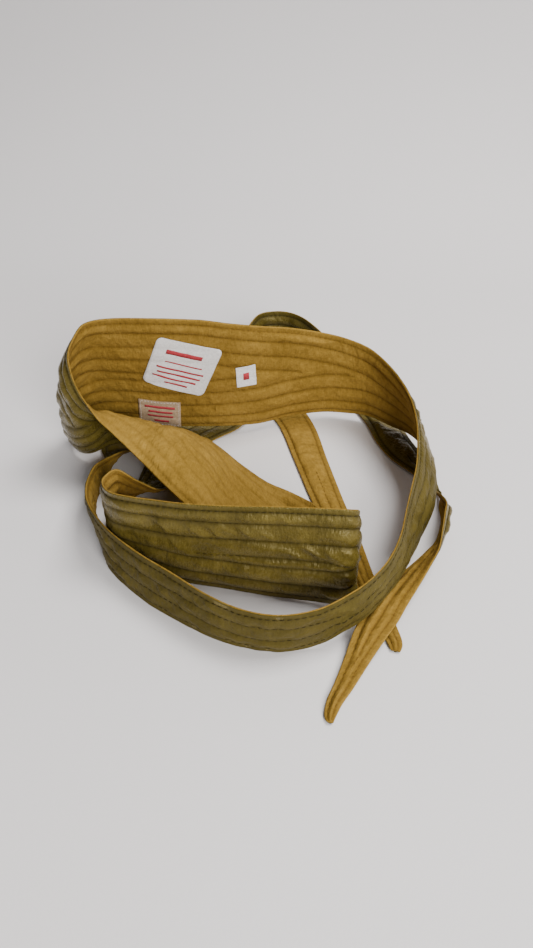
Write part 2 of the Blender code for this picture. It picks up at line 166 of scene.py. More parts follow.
TIE_A = [
    (63, 312, 1.9, 82, 317, 2, 0),
    (69, 297, 1.9, 86.5, 302, 2, 0),
    (79, 283.5, 2.2, 90, 287, 1.9, 0),
    (85, 274.5, 2.2, 91, 277, 1.5, 0),
    (89.4, 267.9, 2.7, 91.2, 267.5, 1, 0),
    (89.4, 259, 8, 88.8, 259.5, 0, 1),
    (88.4, 249, 13, 88.1, 250.5, 0, 2),
    (86, 241, 14, 86, 243, 0, 2),
    (83, 230.5, 13.5, 82, 234, 0, 1.5),
    (79.5, 219, 12.5, 76, 227, 0.5, 1),
    (75.5, 212, 11, 68.5, 219, 1.2, 0.5),
    (68.5, 201, 9, 58, 207.5, 3.5, 0),
    (61, 190.5, 6, 48.5, 197.5, 5.2, 0),
    (56, 182.5, 5.2, 42, 187.5, 5.2, 0),
    (49.5, 173.5, 5.2, 36.5, 177.5, 5, 0),
    (42, 164, 2.2, 32, 167, 2, 0),
    (34.5, 153, 1.2, 27, 155.5, 1.2, 0),
    (29.5, 146, 1.2, 23.5, 148, 1.2, 0),
    (26.5, 140.5, 1.2, 22, 141.5, 1.2, 0),
    (25.3, 138, 1.2, 22.8, 138.5, 1.2, 0),
]
ROUTE = (TIE_B + UNDER_PANEL + OUTER_BAND + BACK_PANEL + LEFT_TURN + FLOP + FRONT_PANEL
         + INNER_RETURN + ARCH + TIE_A)

# Sampling of the cloth.
RING_STEP = 1.05 * MM
COLUMNS = 96
INNER_COLUMNS = 12
EDGE_CROWDING = 0.04
WIDEST_INSET = 0.2
SPLINE_STEPS = 24
SLOPE_REACH = 1.5 * MM
FLOOR_CLEARANCE = 0.02 * MM
NOISE_CELLS = 256

# Layers, measured from the strip's mid surface, each towards its own cloth's face.
CORE = 0.35 * MM
LINING_CORE = -0.2 * MM
SILK_VALLEY = 0.60 * MM
SILK_PUFF = 1.15 * MM
SILK_CRINKLE = 1.45 * MM
LINING_VALLEY = 0.60 * MM
LINING_PUFF = 0.95 * MM
LINING_CRINKLE = 0.95 * MM
WORN_CRUMPLE = 0.75 * MM
THINNEST = 0.50 * MM
SILK_INSET = 0.22 * MM
CORE_INSET = 1.1 * MM
WADDING_STEP = 3 * MM
WADDING_SHORTER = 2 * MM
WADDING_INSET = 2.5 * MM
# The two faces of the wadding, measured towards the silk.
WADDING_FACES = (0.28 * MM, -0.15 * MM)

# How the cloth swells between sewn lines and flattens at the edges.
PUFF_REACH = 1.6 * MM
LIP_PUFF = 0.15
LIP_SHARE = 0.70
LIP_FADE = 0.6 * MM
EDGE_ROUND = 0.7 * MM
# Reach of the painted shade beside each sewn line.
GROOVE_REACH = 0.8 * MM

# Stretches of the strip, in metres from the tip of tie B: most of the folded flap, whose sewn
# lines hardly show on the lining and get less painted groove shade, and most of the outer band,
# whose silk is dull and crumpled and darkened with painted shade.
UNSEWN_LOOK = (0.93, 1.06)
UNSEWN_FADE = 0.55
UNSEWN_TAUT = 0.50
WORN_AND_SHADED_BAND = (0.33, 0.68)
WORN_FLATTER = 0.40
STRETCH_FADE = 30 * MM

# Unevenness of the cloth: size along the strip, size across it, jump of the pattern from one
# channel to the next, and seed.
SILK_CREASES = (6.2 * MM, 13 * MM, 7.7, 3)
SILK_SLANTS = (8.5 * MM, 18 * MM, 5.1, 4)
SILK_SWELLS = (10 * MM, 11 * MM, 3.1, 5)
SILK_PATCHES = (24 * MM, np.inf, 1.9, 8)
SILK_CREPE = (4.2 * MM, 3.6 * MM, 0, 9)
LINING_LEANS = (60 * MM, np.inf, 1, 21)
LINING_CREASES = (6.8 * MM, 8 * MM, 4.4, 23)
LINING_SWELLS = (16 * MM, 15 * MM, 2.2, 25)
# The silk's lean changes with distance alone, and jumps both ways from channel to channel.
LEAN_SIZE = 50 * MM
LEAN_JUMPS = (31, 5.3)
LEAN_SEED = 11
# How far creases lean, how sharply they fold, and the shares of each kind in the crinkle.
SILK_LEAN = 0.7
SILK_SLANT = 1.1
SILK_FOLD = 2.4
SILK_MIX = (0.42, 0.48, 0.4)
LINING_LEAN = 0.3
LINING_FOLD = 2.2
LINING_MIX = (0.6, 0.7)
CALMEST_PATCH = 0.55
CREPE_ON_LINES = 0.4
# Reach of the puckers at the stitches, and their height.
SILK_GATHERS = (1.4 * MM, 0.20 * MM)
LINING_GATHERS = (1.2 * MM, 0.08 * MM)

# Seams, as in the CAD model, but for the edge seam, which runs 0.5 mm nearer the edge here.
EDGE_SEAM = 3.0 * MM
TIP_SEAM_SHARE = 0.3
CHANNEL_PITCH = 9.2 * MM
CHANNELS_PER_SIDE = 4
MIN_CHANNEL = 1.6 * MM
NARROWEST_QUILTED = 8.0 * MM
LINE_FADE = 3.0 * MM

# Stitches: pitch, length and radius, and the place, rise and thickness of each section of one.
STITCH_PITCH = 2.9 * MM
STITCH_LENGTH = 2.3 * MM
STITCH_RADIUS = 0.20 * MM
STITCH_SIDES = 5
STITCH_STEPS = np.array([0, 0.18, 0.5, 0.82, 1.0]) * STITCH_LENGTH
STITCH_RISE = np.array([-0.20, 0.07, 0.12, 0.07, -0.20]) * MM
STITCH_THIN = np.array([0.45, 1.0, 1.0, 1.0, 0.45]) * STITCH_RADIUS
FIRST_STITCH = 2 * MM
LAST_STITCH = 4 * MM
UNSEWN_SUNK = 0.30 * MM


def unit(vectors):
    return vectors / np.linalg.norm(vectors, axis=-1, keepdims=True)


def spline(points, parts):
    """Catmull-Rom curve through every row of points."""
    last = len(points) - 1
    rows = []
    t = (np.arange(parts) / parts)[:, None]
    for i in range(last):
        a, b, c, d = (points[min(max(k, 0), last)] for k in (i - 1, i, i + 1, i + 2))
        rows.append((2 * b + (c - a) * t + (2 * a - 5 * b + 4 * c - d) * t * t
                     + (3 * b - a - 3 * c + d) * t ** 3) / 2)
    rows.append(points[last:])
    return np.concatenate(rows)


class Strip:
    """The sash's mid surface as a function of distance along it and height above edge B."""

    def __init__(self, rows):
        fine = spline(np.array(rows, dtype=float) * MM, SPLINE_STEPS)
        fine[:, 0:3] -= COIL_MIDDLE
        fine[:, 3:6] -= COIL_MIDDLE
        middle = (fine[:, 0:3] + fine[:, 3:6]) / 2
        run = np.linalg.norm(np.diff(middle, axis=0), axis=1)
        self.along = np.concatenate([[0], np.cumsum(run)])
        self.length = self.along[-1]
        across = fine[:, 3:6] - fine[:, 0:3]
        facing = unit(np.cross(np.gradient(middle, axis=0), across))
        self.bulge = facing * fine[:, 6:7]
        self.edge_b, self.across = fine[:, 0:3], across

    def table(self, values, s):
        return np.stack([np.interp(s, self.along, values[:, k]) for k in range(3)], axis=-1)

    def width(self, s):
        return np.linalg.norm(self.table(self.across, s), axis=-1)

    def middle(self, s, h):
        """A point of the mid surface."""
        across = self.table(self.across, s)
        share = (h / np.linalg.norm(across, axis=-1))[..., None]
        return (self.table(self.edge_b, s) + across * share
                + self.table(self.bulge, s) * 4 * share * (1 - share))

    def point(self, s, h, lift):
        """A point lifted from the mid surface towards the silk, kept off the floor."""
        ahead = self.middle(s + SLOPE_REACH, h) - self.middle(s - SLOPE_REACH, h)
        across = self.middle(s, h + SLOPE_REACH) - self.middle(s, h - SLOPE_REACH)
        normal = unit(np.cross(ahead, across))
        place = self.middle(s, h) + normal * lift[..., None]
        place[..., 2] = np.maximum(place[..., 2], FLOOR_CLEARANCE)
        return place


strip = Strip(ROUTE)


def noise(x, y, seed):
    """Smooth value noise from -1 to 1."""
    size = NOISE_CELLS
    table = np.random.default_rng(seed).uniform(-1, 1, (size, size))
    i, j = np.floor(x).astype(int), np.floor(y).astype(int)
    u, v = x - i, y - j
    u, v = u * u * (3 - 2 * u), v * v * (3 - 2 * v)
    low = table[i % size, j % size] * (1 - u) + table[(i + 1) % size, j % size] * u
    high = table[i % size, (j + 1) % size] * (1 - u) + table[(i + 1) % size, (j + 1) % size] * u
    return low * (1 - v) + high * v


def uneven(kind, x, h, below):
    """Noise of one kind, with a pattern of its own in every channel."""
    along, across, jump, seed = kind
    return noise(x / along, h / across + below * jump, seed)


def ramp(x):
    """A soft step from 0 to 1 as x goes from 0 to 1."""
    x = np.clip(x, 0, 1)
    return x * x * (3 - 2 * x)


def edge_seam(w):
    """How far in from each edge the edge seam runs."""
    return np.minimum(EDGE_SEAM, w * TIP_SEAM_SHARE)


def seam_lines():
    """Every sewn line: its height above edge B and the room it has, as functions of the width."""
    lines = []
    for number in range(1, CHANNELS_PER_SIDE + 1):
        step = number * CHANNEL_PITCH
        pair = 2 * step + MIN_CHANNEL
        from_b = pair if number == 1 else pair - CHANNEL_PITCH
        lines.append((lambda w, step=step: step + 0 * w, lambda w, low=from_b: w - low))
        lines.append((lambda w, step=step: w - step, lambda w, low=pair: w - low))
    limit = 2 * CHANNEL_PITCH + MIN_CHANNEL
    lines.append((lambda w: w / 2, lambda w: np.minimum(w - NARROWEST_QUILTED, limit - w)))
    lines.append((edge_seam, lambda w: w))
    lines.append((lambda w: w - edge_seam(w), lambda w: w))
    return lines


LINES = seam_lines()


def nearest_line(h, w):
    """Distance to the nearest sewn line, and the number of lines below, at each point."""
    near = np.full(h.shape, np.inf)
    below = np.zeros(h.shape)
    for height, room in LINES:
        gone = 1 - ramp(room(w) / LINE_FADE)
        away = h - height(w)
        near = np.minimum(near, np.abs(away) + gone * 2 * CHANNEL_PITCH)
        below += (away > 0) * (gone < 0.5)
    return near, below


def between(s, low, high):
    """1 for distances along the strip from low to high, 0 outside, with soft ends."""
    return ramp((s - low) / STRETCH_FADE + 0.5) * ramp((high - s) / STRETCH_FADE + 0.5)


def edge_rounding(h, w):
    """1 inside, falling to 0 at the two edges along a quarter circle."""
    edge = np.clip(np.minimum(h, w - h) / np.minimum(EDGE_ROUND, w / 3), 0, 1)
    return np.sqrt(1 - (1 - edge) ** 2)


def lip(h, w):
    """1 inside the two edge seams, 0 on the flat lips outside them."""
    return ramp((np.minimum(h, w - h) - edge_seam(w)) / LIP_FADE + 0.5)


def puffing(near, inside):
    """0 on a sewn line, 1 well away from it, and little on the lips."""
    return (1 - np.exp(-near / PUFF_REACH)) * (LIP_PUFF + (1 - LIP_PUFF) * inside)


def gathers(kind, s, near):
    """Puckers along a sewn line, one to each stitch."""
    reach, height = kind
    return np.cos(2 * math.pi * s / STITCH_PITCH) * np.exp(-near / reach) * height


def finished(lift, h, w, inside):
    """The lift of a cloth, with flat lips and rounded edges."""
    lift = np.maximum(lift, THINNEST)
    return lift * (LIP_SHARE + (1 - LIP_SHARE) * inside) * edge_rounding(h, w)


def silk_lift(s, h, w):
    """How far the silk's face stands off the mid surface."""
    near, below = nearest_line(h, w)
    inside = lip(h, w)
    puff = puffing(near, inside)
    lean = noise(s / LEAN_SIZE + LEAN_JUMPS[0] * below, below * LEAN_JUMPS[1], LEAN_SEED)
    x = s + SILK_LEAN * lean * (h - w / 2)
    kinds = (1 - SILK_FOLD * np.abs(uneven(SILK_CREASES, x, h, below)),
             1 - SILK_FOLD * np.abs(uneven(SILK_SLANTS, x + SILK_SLANT * h, h, below)),
             uneven(SILK_SWELLS, x, h, below))
    rough = ramp(0.5 + uneven(SILK_PATCHES, s, h, below))
    worn_and_shaded = between(s, *WORN_AND_SHADED_BAND)
    loose = 1 - WORN_FLATTER * worn_and_shaded
    crinkle = (CALMEST_PATCH + (1 - CALMEST_PATCH) * rough) * loose
    crinkle = crinkle * sum(share * kind for share, kind in zip(SILK_MIX, kinds))
    crepe = worn_and_shaded * uneven(SILK_CREPE, s, h, below) * (CREPE_ON_LINES + (1 - CREPE_ON_LINES) * puff)
    lift = (SILK_VALLEY + SILK_PUFF * puff * loose + SILK_CRINKLE * puff * crinkle
            + WORN_CRUMPLE * crepe + gathers(SILK_GATHERS, s, near) * puff)
    return finished(lift, h, w, inside)


def lining_lift(s, h, w):
    """How far the lining's face stands off the mid surface, on the other side."""
    near, below = nearest_line(h, w)
    inside = lip(h, w)
    puff = puffing(near, inside)
    x = s + LINING_LEAN * uneven(LINING_LEANS, s, h, below) * (h - w / 2)
    kinds = (1 - LINING_FOLD * np.abs(uneven(LINING_CREASES, x, h, below)),
             uneven(LINING_SWELLS, x, h, below))
    crinkle = sum(share * kind for share, kind in zip(LINING_MIX, kinds))
    taut = 1 - UNSEWN_TAUT * between(s, *UNSEWN_LOOK)
    lift = (LINING_VALLEY + LINING_PUFF * puff * taut + LINING_CRINKLE * puff * crinkle
            + gathers(LINING_GATHERS, s, near) * puff)
    return finished(lift, h, w, inside)


def columns(w, count, inset):
    """Heights across the strip, closer together at the two edges."""
    t = np.linspace(0, 1, count)
    t = t - EDGE_CROWDING * np.sin(2 * math.pi * t)
    inset = np.minimum(inset, w * WIDEST_INSET)[:, None]
    return inset + t * (w[:, None] - 2 * inset)


def add_mesh(name, points, faces, uv=None, masks=None):
    """A smooth mesh object, with a strip coordinate and named masks for its material."""
    mesh = bpy.data.meshes.new(name)
    mesh.from_pydata(points.reshape(-1, 3).tolist(), [], faces)
    mesh.shade_smooth()
    if uv is not None:
        layer = mesh.uv_layers.new(name="strip")
        corner = np.empty(len(mesh.loops), dtype=np.int32)
        mesh.loops.foreach_get("vertex_index", corner)
        layer.data.foreach_set("uv", uv.reshape(-1, 2)[corner].astype(np.float32).ravel())
    for mask, values in (masks or {}).items():
        attribute = mesh.attributes.new(mask, "FLOAT", "POINT")
        attribute.data.foreach_set("value", values.astype(np.float32).ravel())
    made = bpy.data.objects.new(name, mesh)
    bpy.context.scene.collection.objects.link(made)
    return made


def tube_faces(rings, count):
    """Faces of a closed tube of rings with count points each, with capped ends."""
    i = np.arange(rings - 1)[:, None] * count
    k = np.arange(count)[None, :]
    after = (k + 1) % count
    quads = np.stack([i + k, i + after, i + after + count, i + k + count], axis=-1)
    faces = quads.reshape(-1, 4).tolist()
    faces.append(list(range(count - 1, -1, -1)))
    faces.append(list(range((rings - 1) * count, rings * count)))
    return faces


def copies(block, size, count):
    """The faces of count copies of a block of faces that uses size points."""
    return [[v + k * size for v in face] for k in range(count) for face in block]


def cloth(name, lift, core, inset, core_inset, sign):
    """A closed sheet: a finely shaped outer face and a plain inner one."""
    rings = int(strip.length / RING_STEP)
    s_ring = np.linspace(0, strip.length, rings)
    w_ring = strip.width(s_ring)
    h = columns(w_ring, COLUMNS, inset)
    s, w = (np.broadcast_to(v[:, None], h.shape) for v in (s_ring, w_ring))
    outer = strip.point(s, h, sign * lift(s, h, w))
    h_in = columns(w_ring, INNER_COLUMNS, core_inset)[:, ::-1]
    s_in = np.broadcast_to(s_ring[:, None], h_in.shape)
    inner = strip.point(s_in, h_in, np.full(h_in.shape, sign * core))
    points = np.concatenate([outer, inner], axis=1)
    uv = np.stack([np.concatenate([s, s_in], axis=1), np.concatenate([h, h_in], axis=1)], axis=-1)
    near, _ = nearest_line(h, w)
    shown = 1 if sign > 0 else 1 - UNSEWN_FADE * between(s, *UNSEWN_LOOK)
    plain = np.zeros(h_in.shape)
    # Masks for the materials: painted groove shade along the sewn lines, fainter on the flap's
    # lining, and the outer band, whose silk gets painted shade.
    masks = {
        "groove": np.concatenate([shown * np.exp(-near / GROOVE_REACH), plain], axis=1),
        "worn_and_shaded": np.concatenate([between(s, *WORN_AND_SHADED_BAND), plain], axis=1),
    }
    faces = tube_faces(rings, COLUMNS + INNER_COLUMNS)
    if sign > 0:
        faces = [face[::-1] for face in faces]
    return add_mesh(name, points, faces, uv, masks)


def wadding_sheet():
    """The thin wadding between the cloths."""
    rings = int(strip.length / WADDING_STEP)
    s_ring = np.linspace(WADDING_SHORTER, strip.length - WADDING_SHORTER, rings)
    h = columns(strip.width(s_ring), INNER_COLUMNS, WADDING_INSET)
    s = np.broadcast_to(s_ring[:, None], h.shape)
    sides = [strip.point(s, h, np.full(h.shape, lift)) for lift in WADDING_FACES]
    points = np.concatenate([sides[0], sides[1][:, ::-1]], axis=1)
    faces = [face[::-1] for face in tube_faces(rings, 2 * INNER_COLUMNS)]
    return add_mesh("wadding_sheet", points, faces)


def stitches(name, lines, lift, sign):
    """Short thread capsules along some sewn lines, each dipping into the cloth at its ends."""
    turn = np.arange(STITCH_SIDES) * 2 * math.pi / STITCH_SIDES
    thin = STITCH_THIN[None, :, None]
    starts = np.arange(FIRST_STITCH, strip.length - LAST_STITCH, STITCH_PITCH)
    all_points = []
    for height, room in lines:
        kept = starts[room(strip.width(starts)) > LINE_FADE / 2]
        if not len(kept):
            continue
        s = kept[:, None] + STITCH_STEPS[None, :]
        w = strip.width(s)
        h = height(w)
        s, w, h = (np.repeat(v[..., None], STITCH_SIDES, axis=-1) for v in (s, w, h))
        sunk = UNSEWN_SUNK * between(s, *UNSEWN_LOOK) * (sign < 0)
        above = lift(s, h, w) - sunk + STITCH_RISE[None, :, None] + thin * np.sin(turn)
        side = thin * np.cos(turn)
        all_points.append(strip.point(s, h + side, sign * above).reshape(-1, 3))
    points = np.concatenate(all_points)
    size = len(STITCH_STEPS) * STITCH_SIDES
    faces = copies(tube_faces(len(STITCH_STEPS), STITCH_SIDES), size, len(points) // size)
    if sign > 0:
        faces = [face[::-1] for face in faces]
    return add_mesh(name, points, faces)


# Labels on the lining: place along the strip, height above edge B, length, height, tilt in
# degrees, corner radius.
Place = namedtuple("Place", "along height long tall tilt corner")
LABELS = {
    "care_label": Place(0.848, 0.048, 0.034, 0.034, -21, 3.0 * MM),
    "size_tab": Place(0.814, 0.038, 0.011, 0.0135, 3, 0.4 * MM),
    "fibre_label": Place(0.863, 0.0125, 0.023, 0.0205, -4, 0.4 * MM),
}
LABEL_THICKNESS = 0.22 * MM
LABEL_CLEARANCE = 0.35 * MM
LABEL_FOLLOWS = 0.35
LABEL_GRID = 26
CORNER_EASE = np.array([0, 0.06, 0.22, 0.5, 1.0])
# Plain bars on each label: left, right, height above the label's middle and bar height, as
# shares of half the label's size.
BARS = {
    "care_label": [
        (-0.62, 0.50, 0.52, 0.16), (-0.55, 0.62, 0.12, 0.05), (-0.75, 0.75, -0.14, 0.07),
        (-0.68, 0.70, -0.34, 0.07), (-0.78, 0.62, -0.54, 0.07), (-0.35, 0.40, -0.74, 0.07),
    ],
    "size_tab": [(-0.30, 0.30, 0.0, 0.70)],
    "fibre_label": [
        (-0.72, 0.72, 0.50, 0.16), (-0.55, 0.60, 0.14, 0.16), (-0.60, 0.62, -0.22, 0.16),
        (-0.30, 0.40, -0.58, 0.16),
    ],
}
BAR_THICKNESS = 0.05 * MM
BAR_COLUMNS = 14
BAR_ROWS = 3
# The stitches that hold a label down, each in the middle part of its share of the seam.
LABEL_SEAM = 1.1 * MM
LABEL_STITCH_PITCH = 1.6 * MM
LABEL_STITCH_STEPS = 0.15 + 0.7 * np.array([0, 0.2, 0.5, 0.8, 1.0])
LABEL_STITCH_RISE = np.array([-0.12, 0.05, 0.08, 0.05, -0.12]) * MM
LABEL_STITCH_THIN = np.array([0.4, 1, 1, 1, 0.4]) * 0.11 * MM


def label_lift(s, h):
    """How far a label stands off the mid surface: it bridges the grooves of the lining."""
    w = strip.width(s)
    top = LINING_VALLEY + LINING_PUFF
    return LABEL_FOLLOWS * lining_lift(s, h, w) + (1 - LABEL_FOLLOWS) * top + LABEL_CLEARANCE


def on_label(place, x, y, above):
    """Points of a label, from its own coordinates in metres."""
    turn = math.radians(place.tilt)
    s = place.along - (x * math.cos(turn) - y * math.sin(turn))
    h = place.height + x * math.sin(turn) + y * math.cos(turn)
    return strip.point(s, h, -(label_lift(s, h) + above))


def slab(x, y, place, low, high):
    """Points and faces of a closed slab over a grid of label coordinates."""
    rows, count = x.shape
    points = np.concatenate([on_label(place, x, y, lift).reshape(-1, 3) for lift in (low, high)])
    total = rows * count
    faces = []
    for i in range(rows - 1):
        for j in range(count - 1):
            a = i * count + j
            faces.append((a, a + 1, a + count + 1, a + count))
            faces.append((a + total, a + count + total, a + count + 1 + total, a + 1 + total))
    rim = [(i, 0) for i in range(rows)]
    rim += [(rows - 1, j) for j in range(1, count)]
    rim += [(i, count - 1) for i in range(rows - 2, -1, -1)]
    rim += [(0, j) for j in range(count - 2, 0, -1)]
    loop = [i * count + j for i, j in rim]
    for p, q in zip(loop, loop[1:] + loop[:1]):
        faces.append((p, q, q + total, p + total))
    uv = np.stack([x.ravel(), y.ravel()], axis=-1)
    return points, faces, np.concatenate([uv, uv])


def rounded_grid(place):
    """A grid over a label's rectangle with rounded corners."""
    long, tall, corner = place.long, place.tall, place.corner
    ease = CORNER_EASE * corner
    middle = np.linspace(-tall / 2 + corner, tall / 2 - corner, LABEL_GRID)[1:-1]
    y = np.concatenate([-tall / 2 + ease, middle, (tall / 2 - ease)[::-1]])
    inside = np.maximum(np.abs(y) - (tall / 2 - corner), 0)
    half = long / 2 - corner + np.sqrt(np.maximum(corner ** 2 - inside ** 2, 0))
    x = np.linspace(-1, 1, LABEL_GRID)[None, :] * half[:, None]
    return x, np.broadcast_to(y[:, None], x.shape)


def label_tape(name, place):
    x, y = rounded_grid(place)
    points, faces, uv = slab(x, y, place, 0, LABEL_THICKNESS)
    return add_mesh(name + "_tape", points, faces, uv)


def label_bars(name, place):
    """Thin plain bars woven into a label."""
    low = LABEL_THICKNESS + BAR_THICKNESS
    all_points, faces, all_uv, start = [], [], [], 0
    for left, right, y_mid, tall in BARS[name]:
        x = np.linspace(left, right, BAR_COLUMNS)[None, :] * place.long / 2 * np.ones((BAR_ROWS, 1))
        y = (y_mid + np.linspace(-0.5, 0.5, BAR_ROWS) * tall)[:, None] * place.tall / 2
        y = y * np.ones((1, BAR_COLUMNS))
        points, made, uv = slab(x, y, place, low, low + BAR_THICKNESS)
        all_points.append(points)
        all_uv.append(uv)
        faces.extend([[v + start for v in face] for face in made])
        start += len(points)
    return add_mesh(name + "_bars", np.concatenate(all_points), faces, np.concatenate(all_uv))


def label_stitches(name, place):
    """The stitches that hold a label down, a little inside its outline."""
    half_x, half_y = place.long / 2 - LABEL_SEAM, place.tall / 2 - LABEL_SEAM
    corners = [(-half_x, -half_y), (half_x, -half_y), (half_x, half_y), (-half_x, half_y)]
    turn = np.arange(STITCH_SIDES) * 2 * math.pi / STITCH_SIDES
    side = LABEL_STITCH_THIN[:, None] * np.cos(turn)
    above = LABEL_THICKNESS + LABEL_STITCH_RISE[:, None] + LABEL_STITCH_THIN[:, None] * np.sin(turn)
    all_points = []
    for (x0, y0), (x1, y1) in zip(corners, corners[1:] + corners[:1]):
        run = math.hypot(x1 - x0, y1 - y0)
        count = max(2, int(run / LABEL_STITCH_PITCH))
        go_x, go_y = (x1 - x0) / run, (y1 - y0) / run
        for k in range(count):
            t = ((k + LABEL_STITCH_STEPS) * run / count)[:, None]
            x = x0 + go_x * t - go_y * side
            y = y0 + go_y * t + go_x * side
            all_points.append(on_label(place, x, y, above).reshape(-1, 3))
    size = len(LABEL_STITCH_STEPS) * STITCH_SIDES
    faces = copies(tube_faces(len(LABEL_STITCH_STEPS), STITCH_SIDES), size, len(all_points))
    return add_mesh(name + "_stitches", np.concatenate(all_points), faces)


class Shader:
    """A node material under construction."""

    def __init__(self, name):
        self.material = bpy.data.materials.new(name)
        self.material.use_nodes = True
        self.tree = self.material.node_tree
        self.surface = self.tree.nodes["Principled BSDF"]

    def set(self, node, inputs):
        for key, value in inputs.items():
            socket = node.inputs[key]
            if isinstance(value, bpy.types.NodeSocket):
                self.tree.links.new(value, socket)
            else:
                socket.default_value = value

    def add(self, kind, inputs=None, out=0, **settings):
        node = self.tree.nodes.new("ShaderNode" + kind)
        for key, value in settings.items():
            setattr(node, key, value)
        self.set(node, inputs or {})
        return node.outputs[out]

    def noise(self, vector, scale, stretch=(1, 1, 1), detail=3, rough=0.55):
        placed = self.add("Mapping", {"Vector": vector, "Scale": stretch})
        return self.add("TexNoise", {"Vector": placed, "Scale": scale, "Detail": detail,
                                     "Roughness": rough})

    def ramp(self, value, stops):
        node = self.tree.nodes.new("ShaderNodeValToRGB")
        self.tree.links.new(value, node.inputs[0])
        ends = node.color_ramp.elements
        ends[0].position, ends[1].position = stops[0][0], stops[-1][0]
        ends[0].color, ends[1].color = (*stops[0][1], 1), (*stops[-1][1], 1)
        for place, colour in stops[1:-1]:
            ends.new(place).color = (*colour, 1)
        return node.outputs[0]

    def math(self, kind, a, b, c=0.0):
        return self.add("Math", {0: a, 1: b, 2: c}, operation=kind)

    def mix(self, share, a, b):
        return self.add("Mix", {0: share, 6: a, 7: b}, out=2, data_type="RGBA")

    def bump(self, height, distance, under=None):
        inputs = {"Height": height, "Distance": distance, "Strength": 1.0}
        if under is not None:
            inputs["Normal"] = under
        return self.add("Bump", inputs)


# Colours (linear RGB) of the cloths, from dark to light with their places on the ramp, the painted
# shade in their grooves, and the painted shade on the silk's outer band.
SILK_TONES = [(0.30, (0.055, 0.041, 0.0070)), (0.50, (0.092, 0.068, 0.0125)),
              (0.70, (0.140, 0.104, 0.0210))]
SILK_GROOVE_SHADE = (0.012, 0.008, 0.001, 1)
SILK_BAND_SHADE = (0.048, 0.037, 0.010, 1)
LINING_TONES = [(0.32, (0.150, 0.085, 0.0120)), (0.50, (0.245, 0.145, 0.0250)),
                (0.68, (0.335, 0.205, 0.0420))]
LINING_GROOVE_SHADE = (0.070, 0.033, 0.002, 1)
PAPER_TONES = [(0.3, (0.700, 0.676, 0.670)), (0.7, (0.730, 0.706, 0.699))]
PAPER_BACKDROP_SHADE = (0.54, 0.52, 0.515, 1)


def silk_material():
    m = Shader("olive_silk")
    uv = m.add("UVMap", uv_map="strip")
    blotch = m.noise(uv, 70, (1, 1.4, 1), detail=4)
    streak = m.noise(uv, 620, (1.8, 0.8, 1), detail=3)
    slub = m.noise(uv, 1100, (0.3, 2.4, 1), detail=2)
    fine_part = m.math("MULTIPLY_ADD", streak, 0.24, m.math("MULTIPLY", slub, 0.14))
    colour = m.ramp(m.math("MULTIPLY_ADD", blotch, 0.62, fine_part), SILK_TONES)
    groove = m.add("Attribute", out=2, attribute_name="groove")
    worn_and_shaded = m.add("Attribute", out=2, attribute_name="worn_and_shaded")
    # Painted shade: the silk is darkened in the grooves along the sewn lines, a little less on the
    # outer band.
    shade = m.math("MULTIPLY", groove, m.math("MULTIPLY_ADD", worn_and_shaded, -0.34, 0.72))
    colour = m.mix(shade, colour, SILK_GROOVE_SHADE)
    # Painted shade over the whole outer band: its silk is darkened there.
    colour = m.mix(m.math("MULTIPLY", worn_and_shaded, 0.45), colour, SILK_BAND_SHADE)
    dull = m.math("MAXIMUM", worn_and_shaded, groove)
    rough = m.math("MULTIPLY_ADD", dull, 0.30, m.math("MULTIPLY_ADD", streak, 0.20, 0.17))
    shine = m.math("MULTIPLY_ADD", dull, -0.30, 0.42)
    fine = m.noise(uv, 2200, (1, 1, 1), detail=2)
    crumple = m.noise(uv, 340, (1.3, 0.7, 1), detail=4)
    normal = None
    for height, depth in ((fine, 0.06), (slub, 0.10), (streak, 0.06), (crumple, 0.85)):
        normal = m.bump(height, depth * MM, normal)
    m.set(m.surface, {"Base Color": colour, "Roughness": rough, "Normal": normal,
                      "Sheen Weight": 0.04, "Sheen Roughness": 0.4,
                      "Sheen Tint": (0.72, 0.60, 0.28, 1), "Specular IOR Level": shine,
                      "Specular Tint": (1.0, 0.86, 0.46, 1)})
    return m.material


def lining_material():
    m = Shader("golden_cotton")
    uv = m.add("UVMap", uv_map="strip")
    blotch = m.noise(uv, 55, detail=4)
    mottle = m.noise(uv, 420, detail=3, rough=0.7)
    warp = m.noise(uv, 900, (2.2, 0.25, 1), detail=1)
    weft = m.noise(uv, 900, (0.25, 2.2, 1), detail=1)
    weave = m.math("ADD", warp, weft)
    fine_part = m.math("MULTIPLY_ADD", mottle, 0.35, m.math("MULTIPLY", weave, 0.15))
    colour = m.ramp(m.math("MULTIPLY_ADD", blotch, 0.35, fine_part), LINING_TONES)
    groove = m.add("Attribute", out=2, attribute_name="groove")
    # Painted shade: the lining is darkened in the grooves along the sewn lines.
    colour = m.mix(m.math("MULTIPLY", groove, 0.66), colour, LINING_GROOVE_SHADE)
    crumple = m.noise(uv, 300, (1.2, 0.8, 1), detail=4)
    normal = None
    for height, depth in ((mottle, 0.34), (weave, 0.22), (crumple, 0.95)):
        normal = m.bump(height, depth * MM, normal)
    m.set(m.surface, {"Base Color": colour, "Roughness": 0.88, "Normal": normal,
                      "Sheen Weight": 0.02, "Sheen Roughness": 0.6,
                      "Sheen Tint": (0.90, 0.72, 0.40, 1), "Specular IOR Level": 0.12,
                      "Specular Tint": (1.0, 0.80, 0.45, 1)})
    return m.material


def plain_cloth(name, dark, light, scale, roughness):
    """A close cloth or thread with a fine grain."""
    m = Shader(name)
    where = m.add("TexCoord", out=3)
    grain = m.noise(where, scale, detail=4, rough=0.6)
    colour = m.ramp(grain, [(0.35, dark), (0.65, light)])
    m.set(m.surface, {"Base Color": colour, "Roughness": roughness,
                      "Normal": m.bump(grain, 0.20 * MM), "Specular IOR Level": 0.15})
    return m.material


